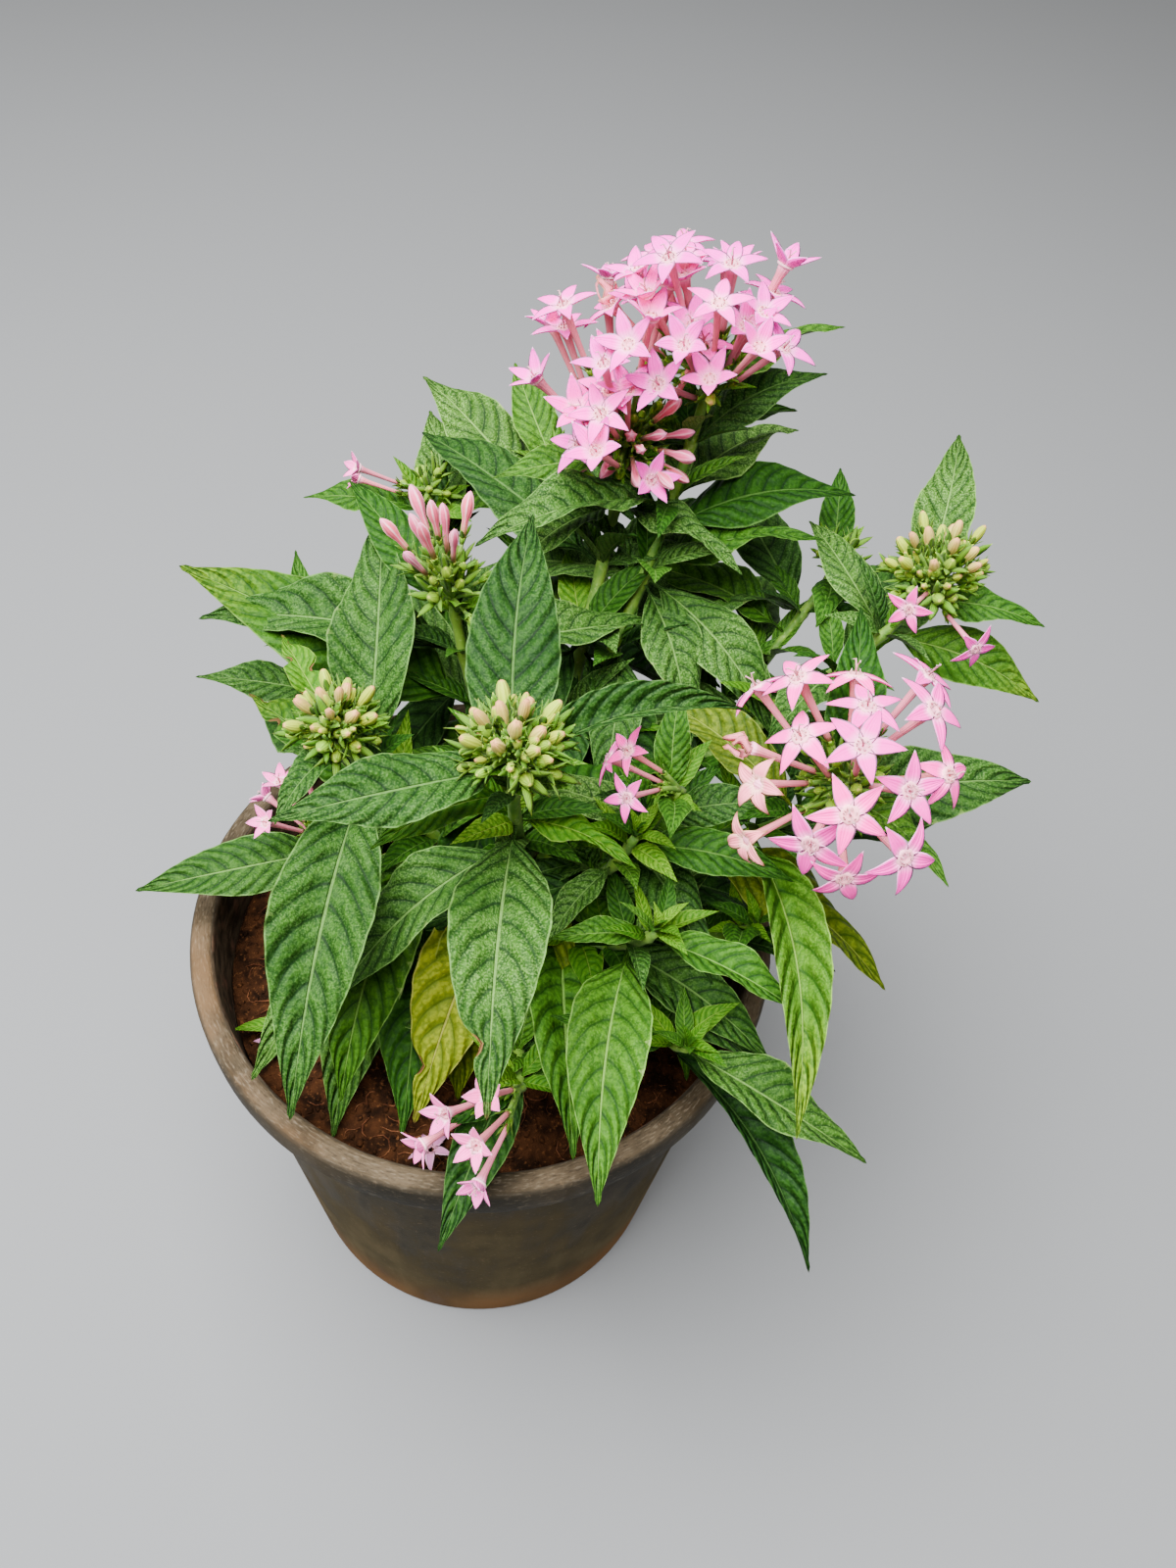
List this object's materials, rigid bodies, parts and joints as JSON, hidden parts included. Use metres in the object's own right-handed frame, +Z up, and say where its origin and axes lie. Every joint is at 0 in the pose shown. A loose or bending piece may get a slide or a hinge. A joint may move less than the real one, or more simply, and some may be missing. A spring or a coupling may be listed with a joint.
{
  "type": "potted pentas",
  "caption": "Small flowering shrub in a round nursery pot: a leaning woody stem with leafy shoots that end in domed heads of star flowers or in buds.",
  "frame": {"origin": "centre of the pot's flat underside, on the surface that the pot stands on", "axes": "+Z up along the pot's axis, -Y towards the front, where the picture was taken from, +X to the right as seen from the front"},
  "size_m": [0.2925, 0.2865, 0.3838],
  "materials": {
    "pot": "dull black-grey plastic with dry dust on it",
    "soil": "loose, fibrous, red-brown and slightly moist",
    "stem": "green-brown young bark",
    "bough": "green, softly hairy stem",
    "foliage": "soft green leaves with a slight sheen"
  },
  "bodies": {
    "root": {"pot": "pot", "soil": "soil", "main_stem": "stem", "bough_tall": "bough", "bough_tall_back": "bough", "bough_pink_buds": "bough", "bough_left_buds": "bough", "bough_front": "bough", "bough_right": "bough", "bough_right_buds": "bough", "bough_small": "bough", "bough_middle": "bough", "bough_rosette": "bough", "bough_low_right": "bough", "bough_low_front": "bough", "bough_low_left": "bough", "bough_back_left": "bough", "bough_back_right": "bough", "bough_back_middle": "bough", "bough_inner_right": "bough", "bough_back_low": "bough", "bough_left_low": "bough", "foliage_tall": "foliage", "foliage_tall_back": "foliage", "foliage_pink_buds": "foliage", "foliage_left_buds": "foliage", "foliage_front": "foliage", "foliage_right": "foliage", "foliage_right_buds": "foliage", "foliage_small": "foliage", "foliage_middle": "foliage", "foliage_rosette": "foliage", "foliage_low_right": "foliage", "foliage_low_front": "foliage", "foliage_low_left": "foliage", "foliage_back_left": "foliage", "foliage_back_right": "foliage", "foliage_back_middle": "foliage", "foliage_inner_right": "foliage", "foliage_back_low": "foliage", "foliage_left_low": "foliage"}
  },
  "joints": []
}
